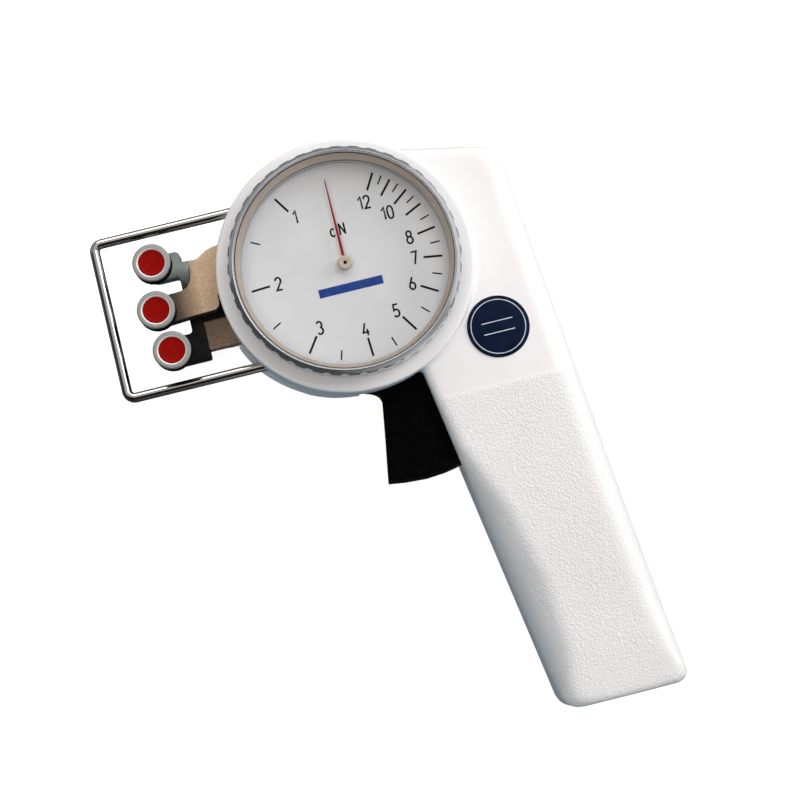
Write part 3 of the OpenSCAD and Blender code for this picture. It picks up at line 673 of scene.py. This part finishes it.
fine = rounded(
    [(35.6, 30.8), (37.4, 30.8), (37.4, 31.4), (36.7, 31.4), (36.7, 32.5), (37.4, 32.5), (37.4, 40.2), (40.55, 40.2), (BR, 40.55), (BR, 46.2), (40.4, 47.0), (39.35, 47.86), (39.15, 48.0), (38.95, 47.96), (38.45, 47.25), (38.45, 43.8), (38.3, 43.8), (38.3, 42.3), (36.65, 42.3), (36.65, 38.6), (35.6, 38.6)],
    [0, 0, 0, 0, 0, 0, 0, 0, 0, 0.4, 0.4, 0.15, 0.1, 0.1, 0.08, 0, 0, 0, 0, 0, 0],
    3,
)
v, q, _ = lathe(fine, TEETH * 20, (0, 0), scalloped)
piece("bezel", v, q, "bezel", "bezel", ["bezel_ring"], 30)
prof = rounded([(36.5, 43.8), (38.4, 43.8), (38.4, 45.5), (38.12, 45.7), (38.12, 46.95), (37.98, 47.0), (36.5, 44.25)], [0, 0, 0.06, 0.06, 0.05, 0.08, 0.12], 3)
v, q, _ = lathe(prof, 240)
piece("retaining_ring", v, q, "ring", "bezel", ["lens_retaining_ring"], 30)

GLYPH = {
    "0": [[(0.3 + 0.27 * math.copysign(abs(math.cos(a)) ** 0.8, math.cos(a)), 0.5 + 0.5 * math.copysign(abs(math.sin(a)) ** 0.8, math.sin(a))) for a in np.linspace(0, 2 * math.pi, 28, endpoint=False)]],
    "1": [[(0.12, 0.76), (0.4, 1.0), (0.4, 0.0)]],
    "2": [arc(0.3, 0.735, 0.265, 172, -38, 14) + [(0.04, 0.0), (0.58, 0.0)]],
    "3": [arc(0.28, 0.745, 0.255, 150, -78, 12), arc(0.28, 0.275, 0.275, 80, -152, 14)],
    "4": [[(0.36, 1.0), (0.03, 0.27), (0.62, 0.27)], [(0.46, 0.52), (0.46, 0.0)]],
    "5": [[(0.54, 1.0), (0.12, 1.0), (0.08, 0.53)] + arc(0.28, 0.31, 0.29, 112, -148, 14)],
    "6": [[(0.42, 1.0), (0.2, 0.62), (0.06, 0.38)] + arc(0.3, 0.285, 0.275, 165, 505, 20)],
    "7": [[(0.03, 1.0), (0.58, 1.0), (0.2, 0.0)]],
    "8": [[(0.3 + 0.235 * math.cos(a), 0.765 + 0.235 * math.sin(a)) for a in np.linspace(0, 2 * math.pi, 24, endpoint=False)], [(0.3 + 0.28 * math.cos(a), 0.27 + 0.27 * math.sin(a)) for a in np.linspace(0, 2 * math.pi, 26, endpoint=False)]],
    "c": [[(0.27 + 0.25 * math.cos(a), 0.34 + 0.33 * math.sin(a)) for a in np.radians(np.linspace(48, 312, 18))]],
    "N": [[(0.05, 0.0), (0.05, 1.0)], [(0.05, 0.97), (0.57, 0.03)], [(0.57, 0.0), (0.57, 1.0)]],
}
CLOSED = {"0", "8"}


def write(text, cx, cy, high, stroke, z0, z1, gap=0.16):
    """Plain narrow figures; a 1 takes less room than the others."""
    slim = 0.8 * high
    room = [0.46 * slim if ch == "1" else 0.6 * slim for ch in text]
    x = cx - (sum(room) + (len(text) - 1) * gap * high) / 2
    parts = []
    for ch, w in zip(text, room):
        for line in GLYPH[ch]:
            parts.append(ribbon([(x + px * slim, cy + (py - 0.5) * high) for px, py in line], stroke, z0, z1, ch in CLOSED))
        x += w + gap * high
    return parts


INK0, INK1 = 39.38, 39.43
TICKS = [(1, 33), (1.5, 63), (2, 93), (2.5, 119), (3, 145), (3.5, 164), (4, 183), (4.5, 198), (5, 213), (5.5, 226), (6, 239.5), (6.5, 250), (7, 261), (7.5, 270), (8, 279), (8.5, 287), (9, 295.5), (9.5, 301.5), (10, 307.5), (10.5, 313.5), (11, 319), (11.5, 324.5), (12, 330)]
NUMBERED = {1: 24.5, 2: 24.5, 3: 24.5, 4: 24.5, 5: 24.5, 6: 24.5, 7: 24.5, 8: 24.5, 10: 23.5, 12: 23.0}
parts = []
for value, a in TICKS:
    s, c = -math.sin(math.radians(a)), math.cos(math.radians(a))
    whole = value == int(value)
    r0, wide = (27.6, 0.78) if whole else (30.8, 0.52)
    parts.append(ribbon([(r0 * s, r0 * c), (34.3 * s, 34.3 * c)], wide, INK0, INK1))
    if value in NUMBERED:
        r = NUMBERED[value]
        parts += write(str(int(value)), r * s, r * c, 4.5, 0.66, INK0, INK1)
parts += write("cN", 0.2, 12.6, 4.2, 0.62, INK0, INK1, 0.3)
v, q = join(*parts)
piece("dial_print", v, q, "ink", "bezel", sharp=30)
v, q = prism(rounded([(-11.55, -10.0), (11.55, -10.0), (11.55, -6.9), (-11.55, -6.9)], 0.12, 2), INK0, INK1, 0.01, 0.0, 1)
piece("dial_bar", v, q, "blue", "bezel")

# Pointer: a folded blade with a ridge, on a turned hub
rings = []
for y, half, low, ridge in ((2.0, 0.52, 40.9, 41.28), (3.0, 0.54, 40.9, 41.3), (12.0, 0.42, 40.92, 41.27), (22.0, 0.3, 40.94, 41.22), (30.0, 0.2, 40.96, 41.14), (31.0, 0.1, 40.98, 41.06)):
    rings.append(np.array([(-half, y, low), (-half, y, low + 0.07), (0, y, ridge), (half, y, low + 0.07), (half, y, low)]))
v, q = loft(rings)
piece("pointer_blade", v, q, "pointer", "pointer", ["pointer"], 20)
prof = [(0, 40.0)] + rounded([(0.3, 40.0), (2.2, 40.0), (2.2, 40.55), (2.6, 40.85), (2.6, 41.75), (2.3, 42.0), (0.66, 42.0), (0.58, 41.6), (0.3, 41.55)], [0, 0.1, 0.1, 0.15, 0.2, 0.15, 0.06, 0.06, 0], 3) + [(0, 41.55)]
v, q, rows = lathe(prof, 72)
# The hub's centre bore takes the near-black finish, which is painted shade.
piece("pointer_boss", v, q, ["hub", "black"], "pointer", ["pointer_hub"], 30, [1 if prof[i][0] < 0.64 and prof[i][1] > 41 else 0 for i in rows])

# ---------- roller head ----------
MID, TOP, BOT = (-68.2, -0.2), (-66.0, 16.6), (-66.0, -15.4)
LEVER = (-16.0, 24.0)
outline = [(-68.2, -3.9), (-64, -3.8), (-57, -3.3)] + arc(-49.1, -0.5, 2.5, -90, 0, 7)
outline += [(-46.4, 2), (-40, 5.5), (-24, 15), (-17.2, 17.1)] + arc(*LEVER, 7, -80, 100, 18)
outline += [(-22, 28.8), (-38, 21.2), (-42.8, 19.9), (-46.3, 19.2), (-48.4, 18.2), (-50.2, 17), (-51.6, 16.6)]
outline += arc(-53.4, 15.8, 0.9, 90, 180, 5) + [(-54, 14.4)] + arc(-59.6, 11.7, 5.1, -10, -84, 9)
outline += arc(-68.2, 1.15, 5.05, 90, 270, 20)[:-1]
v, q = join(prism(outline, 24.5, 30.3, 0.26, 0.3, 3), lathe(rounded([(0, 29.6), (3.6, 29.6), (3.6, 34.4), (0, 34.4)], [0, 0, 0.35, 0], 3), 48, MID)[:2])
# The upright faces take the near-black copy of the finish, which is painted shade.
piece("measuring_bracket", v, q, ["tan", "tan_side_painted_shade"], "lever", ["measuring_lever"], 40, steep(v, q))

outline = rounded(
    [(-66, -18.2), (-54.2, -18.2), (-54.2, 18.6), (-56.9, 18.6), (-56.9, 22.9), (-66, 22.9)],
    [0, 0.9, 0.5, 0.35, 2.6, 0],
    6,
)
outline += arc(-66, 18.15, 4.75, 90, 270, 16)[1:] + rounded([(-66, 13.4), (-58.8, 13.4), (-58.8, -7.7), (-66, -7.7)], [0, 1.2, 1.2, 0], 5)[1:]
outline += arc(-66, -12.95, 5.25, 90, 270, 18)[1:-1]
parts = [prism(outline, 17.0, 23.0, 0.5, 0.4, 3)]
parts.append(prism([(-54.6, -15.1), (-46.0, -15.1), (-46.0, -5.0), (-54.6, -5.0)], 17.0, 19.58, 0.15, 0.2, 2))
parts.append(prism(rounded([(-54.6, -4.75), (-44.9, -4.75), (-44.9, 2.2), (-54.6, 2.2)], [0, 0.4, 0.4, 0], 3), 17.0, 22.5, 0.4, 0.3, 2))
for p in (TOP, BOT):
    parts.append(lathe(rounded([(0, 22.4), (3.0, 22.4), (3.0, 34.4), (0, 34.4)], [0, 0, 0.35, 0], 3), 48, p)[:2])
v, q = join(*parts)
piece("guide_fork", v, q, "yoke", "carriage", ["guide_yoke"], 40)

Y0, Y1 = -15.3, -4.8
side = rounded([(-54.2, 19.62), (-45.9, 19.62), (-45.9, 17.0), (-0.1, 17.0), (-0.1, 23.0), (-54.2, 23.0)], [0.3, 0.2, 0.2, 0, 0, 0.45], 4)
v, q = prism(side, -Y1, -Y0, 0.4, 0.4, 3)
bar = [(np.stack([v[:, 0], -v[:, 2], v[:, 1]], 1), q)]
bar.append(prism([(-0.2, Y0), (6.5, Y0), (6.5, -13.6), (-0.2, -13.6)], 17.0, 23.0, 0.2, 0.2, 2))
bar.append(prism([(-0.2, -7.7), (6.5, -7.7), (6.5, Y1), (-0.2, Y1)], 17.0, 23.0, 0.2, 0.2, 2))
bar.append(prism([(4.1, -13.8), (6.5, -13.8), (6.5, -7.5), (4.1, -7.5)], 17.0, 23.0, 0.2, 0.2, 2))
v, q = join(*bar)
piece("carriage_block", v, q, "tan_low", "carriage", ["carriage_bar"], 40)

RR = 6.75
flange = rounded(
    [(2.5, 34.8), (RR - 0.3, 34.8), (RR, 35.1), (RR, 36.1), (5.1, 37.6), (5.1, 37.9), (RR, 39.4), (RR, 40.6), (RR - 0.4, 41.0), (5.2, 41.0), (4.75, 40.72), (4.75, 39.8), (4.0, 39.8), (4.0, 35.6), (2.5, 35.6)],
    [0, 0.1, 0.12, 0.25, 0.5, 0.5, 0.25, 0.15, 0.15, 0.1, 0.1, 0, 0, 0, 0],
    3,
)
cap = [(0, 39.8), (4.68, 39.8), (4.68, 40.42), (4.62, 40.54), (4.5, 40.6), (4.32, 40.6), (4.1, 40.52), (3.8, 40.42), (3.2, 40.33), (2.2, 40.27), (1.0, 40.24), (0, 40.235)]
for name, p in (("roller_top", TOP), ("roller_middle", MID), ("roller_bottom", BOT)):
    v, q, rows = lathe(flange, 96, p)
    # Finish per face: 0 the grey top face, 1 painted shade on the flange sides, groove and lower flange, 2 painted
    # highlight on the bevel round the cap.
    low = [1 if flange[i][1] < 40.55 and flange[i][0] > 5.0 else 2 if 40.5 < flange[i][1] and flange[i][0] < 5.25 else 0 for i in rows]
    piece(name + "_turned", v, q, ["alu", "black", "rim"], name, [name], 32, low)
    v, q, _ = lathe(cap, 72, p)
    piece(name + "_lid", v, q, "red", name, [name + "_cap"], 40)

# ---------- nodes shown as packed ----------
SHOWN = {
    "steel": "housing_screws pointer_arbor intermediate_arbor chassis_screws chassis_standoffs movement_pillars pillar_screws lever_arbor lever_bearings lever_clamp_screw measuring_spring_stud yoke_screws guide_roller_axles measuring_roller_axle roller_top_bearing roller_middle_bearing roller_bottom_bearing trigger_pivot_pin trigger_drive_pin",
    "spring": "bezel_snap_ring guide_roller_clips measuring_roller_clip trigger_clip measuring_spring trigger_return_spring",
    "brass": "hairspring hairspring_stud arbor_bushes intermediate_gear movement_rear_plate movement_front_plate sector_gear bar_guides",
    "plate": "chassis_plate damping_disc",
    "magnet": "damping_magnet",
    "dial": "dial_plate",
    "lens": "lens",
    "trigger": "trigger",
}
for key, names in SHOWN.items():
    for n in names.split():
        nodes[n].data.materials.clear()
        nodes[n].data.materials.append(M[key].mat)


def soften(node, width, segments=3, angle=40):
    """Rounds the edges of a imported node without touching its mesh."""
    ob = nodes[node]
    weld = ob.modifiers.new("weld", "WELD")
    weld.merge_threshold = 2e-6
    b = ob.modifiers.new("edges", "BEVEL")
    b.width = width * MM
    b.segments = segments
    b.limit_method = "ANGLE"
    b.angle_limit = math.radians(angle)
    b.use_clamp_overlap = True
    b.harden_normals = True
    ob.data.polygons.foreach_set("use_smooth", np.ones(len(ob.data.polygons), bool))


soften("trigger", 0.9, 4)

# ---------- floor, light, camera ----------
f = Finish("floor", srgb(240, 240, 240), 0.8, Emission_Color=(1.0, 1.0, 1.0, 1.0), Emission_Strength=0.75)
f.tint(f.noise(60, 2), (0.3, srgb(239, 239, 239)), (0.7, srgb(241, 241, 241)))
me = bpy.data.meshes.new("floor")
me.from_pydata([(-4, -4, -0.0003), (4, -4, -0.0003), (4, 4, -0.0003), (-4, 4, -0.0003)], [], [(0, 1, 2, 3)])
me.materials.append(f.mat)
floor = bpy.data.objects.new("floor", me)
floor.visible_diffuse = False
floor.visible_glossy = False
scene.collection.objects.link(floor)

# Studio: bright above, dim below the table's edge
world = bpy.data.worlds.new("studio")
scene.world = world
world.use_nodes = True
tree = world.node_tree
sky = tree.nodes["Background"]
sky.inputs["Strength"].default_value = 1.0
co = tree.nodes.new("ShaderNodeTexCoord")
sep = tree.nodes.new("ShaderNodeSeparateXYZ")
fade = tree.nodes.new("ShaderNodeMapRange")
for k, val in (("From Min", -1.0), ("From Max", 1.0), ("To Min", 0.0), ("To Max", 1.0)):
    fade.inputs[k].default_value = val
ramp = tree.nodes.new("ShaderNodeValToRGB")
while len(ramp.color_ramp.elements) < 5:
    ramp.color_ramp.elements.new(0.5)
for k, (pos, color) in enumerate(((0.35, (0.05, 0.05, 0.055)), (0.5, (0.3, 0.302, 0.305)), (0.67, (0.28, 0.281, 0.283)), (0.9, (0.24, 0.24, 0.24)), (0.985, (0.55, 0.55, 0.55)))):
    ramp.color_ramp.elements[k].position = pos
    ramp.color_ramp.elements[k].color = (*color, 1.0)
tree.links.new(co.outputs["Generated"], sep.inputs[0])
tree.links.new(sep.outputs[2], fade.inputs["Value"])
tree.links.new(fade.outputs["Result"], ramp.inputs["Fac"])
tree.links.new(ramp.outputs["Color"], sky.inputs["Color"])


def card(name, direction, distance, size, glow=0.0):
    """A dark or softly lit studio card out of the picture, only for the reflections in bright metal."""
    d = Vector(direction).normalized()
    f = Finish(name, srgb(34, 32, 30), 0.9, Emission_Color=(1.0, 1.0, 1.0, 1.0), Emission_Strength=glow)
    f.tint(f.noise(90, 2), (0.3, srgb(30, 28, 26)), (0.7, srgb(38, 36, 34)))
    me = bpy.data.meshes.new(name)
    w, h = size[0] / 2, size[1] / 2
    me.from_pydata([(-w, -h, 0), (w, -h, 0), (w, h, 0), (-w, h, 0)], [], [(0, 1, 2, 3)])
    me.materials.append(f.mat)
    ob = bpy.data.objects.new(name, me)
    ob.location = d * distance
    ob.rotation_euler = d.to_track_quat("-Z", "Y").to_euler()
    scene.collection.objects.link(ob)
    ob.visible_diffuse = False
    ob.visible_shadow = False
    return ob


card("card_near", (-0.15, -0.6, 0.75), 1.05, (1.5, 0.9))
card("card_top", (-0.12, -0.3, 0.95), 1.05, (0.8, 0.5))
card("card_right", (0.93, 0.22, 0.24), 1.1, (1.7, 0.6), 0.8)
card("card_front", (-0.6, -0.85, 0.14), 1.1, (1.25, 0.6))
card("card_low", (0.42, -0.9, 0.16), 1.1, (0.6, 0.3), 0.8)
card("card_left", (-0.82, -0.4, 0.42), 1.1, (2.0, 1.0)).visible_diffuse = True


def softbox(name, direction, distance, size, power, color, target=(0.0, -0.04, 0.02)):
    d = Vector(direction).normalized()
    li = bpy.data.lights.new(name, "AREA")
    li.shape = "RECTANGLE"
    li.size, li.size_y = size
    li.energy = power
    li.color = color
    ob = bpy.data.objects.new(name, li)
    ob.location = Vector(target) + d * distance
    ob.rotation_euler = (-d).to_track_quat("-Z", "Y").to_euler()
    scene.collection.objects.link(ob)
    return ob


el = math.radians(52)
softbox("key", (0.857 * math.cos(el), 0.515 * math.cos(el), math.sin(el)), 1.1, (0.5, 0.5), 2.5, (1.0, 0.992, 0.985))
softbox("side", (0.93, 0.22, 0.26), 1.0, (0.7, 0.4), 7.4, (1.0, 1.0, 1.0)).visible_glossy = False
softbox("top", (-0.12, -0.3, 1.0), 1.3, (0.9, 0.9), 2.45, (1.0, 0.99, 0.975), (0.02, -0.1, 0.02)).visible_glossy = False
softbox("left", (-0.5, -0.15, 0.85), 1.1, (0.5, 0.4), 1.8, (1.0, 0.88, 0.74)).visible_glossy = False
softbox("behind", (0.1, 0.8, 0.55), 1.0, (1.0, 0.6), 3.9, (1.0, 0.995, 0.99))
softbox("low_fill", (-0.58, -0.81, 0.03), 1.2, (0.5, 0.3), 2.7, (0.14, 0.66, 1.0)).visible_glossy = False

r, t = math.radians(14), math.radians(8)
ex = Vector((math.cos(r), -math.sin(r), 0))
back = Vector((-math.sin(r) * math.sin(t), -math.cos(r) * math.sin(t), math.cos(t)))
up = back.cross(ex)
C = Vector((-0.014781, -0.138895, 0.679674))
cam = bpy.data.objects.new("camera", bpy.data.cameras.new("camera"))
cam.matrix_world = Matrix(((ex.x, up.x, back.x, C.x), (ex.y, up.y, back.y, C.y), (ex.z, up.z, back.z, C.z), (0, 0, 0, 1)))
cam.data.sensor_width = 36
cam.data.lens = 36 * 1857.142857 / 800
cam.data.clip_start, cam.data.clip_end = 0.01, 20
scene.collection.objects.link(cam)
scene.camera = cam
scene.view_settings.view_transform = "Standard"
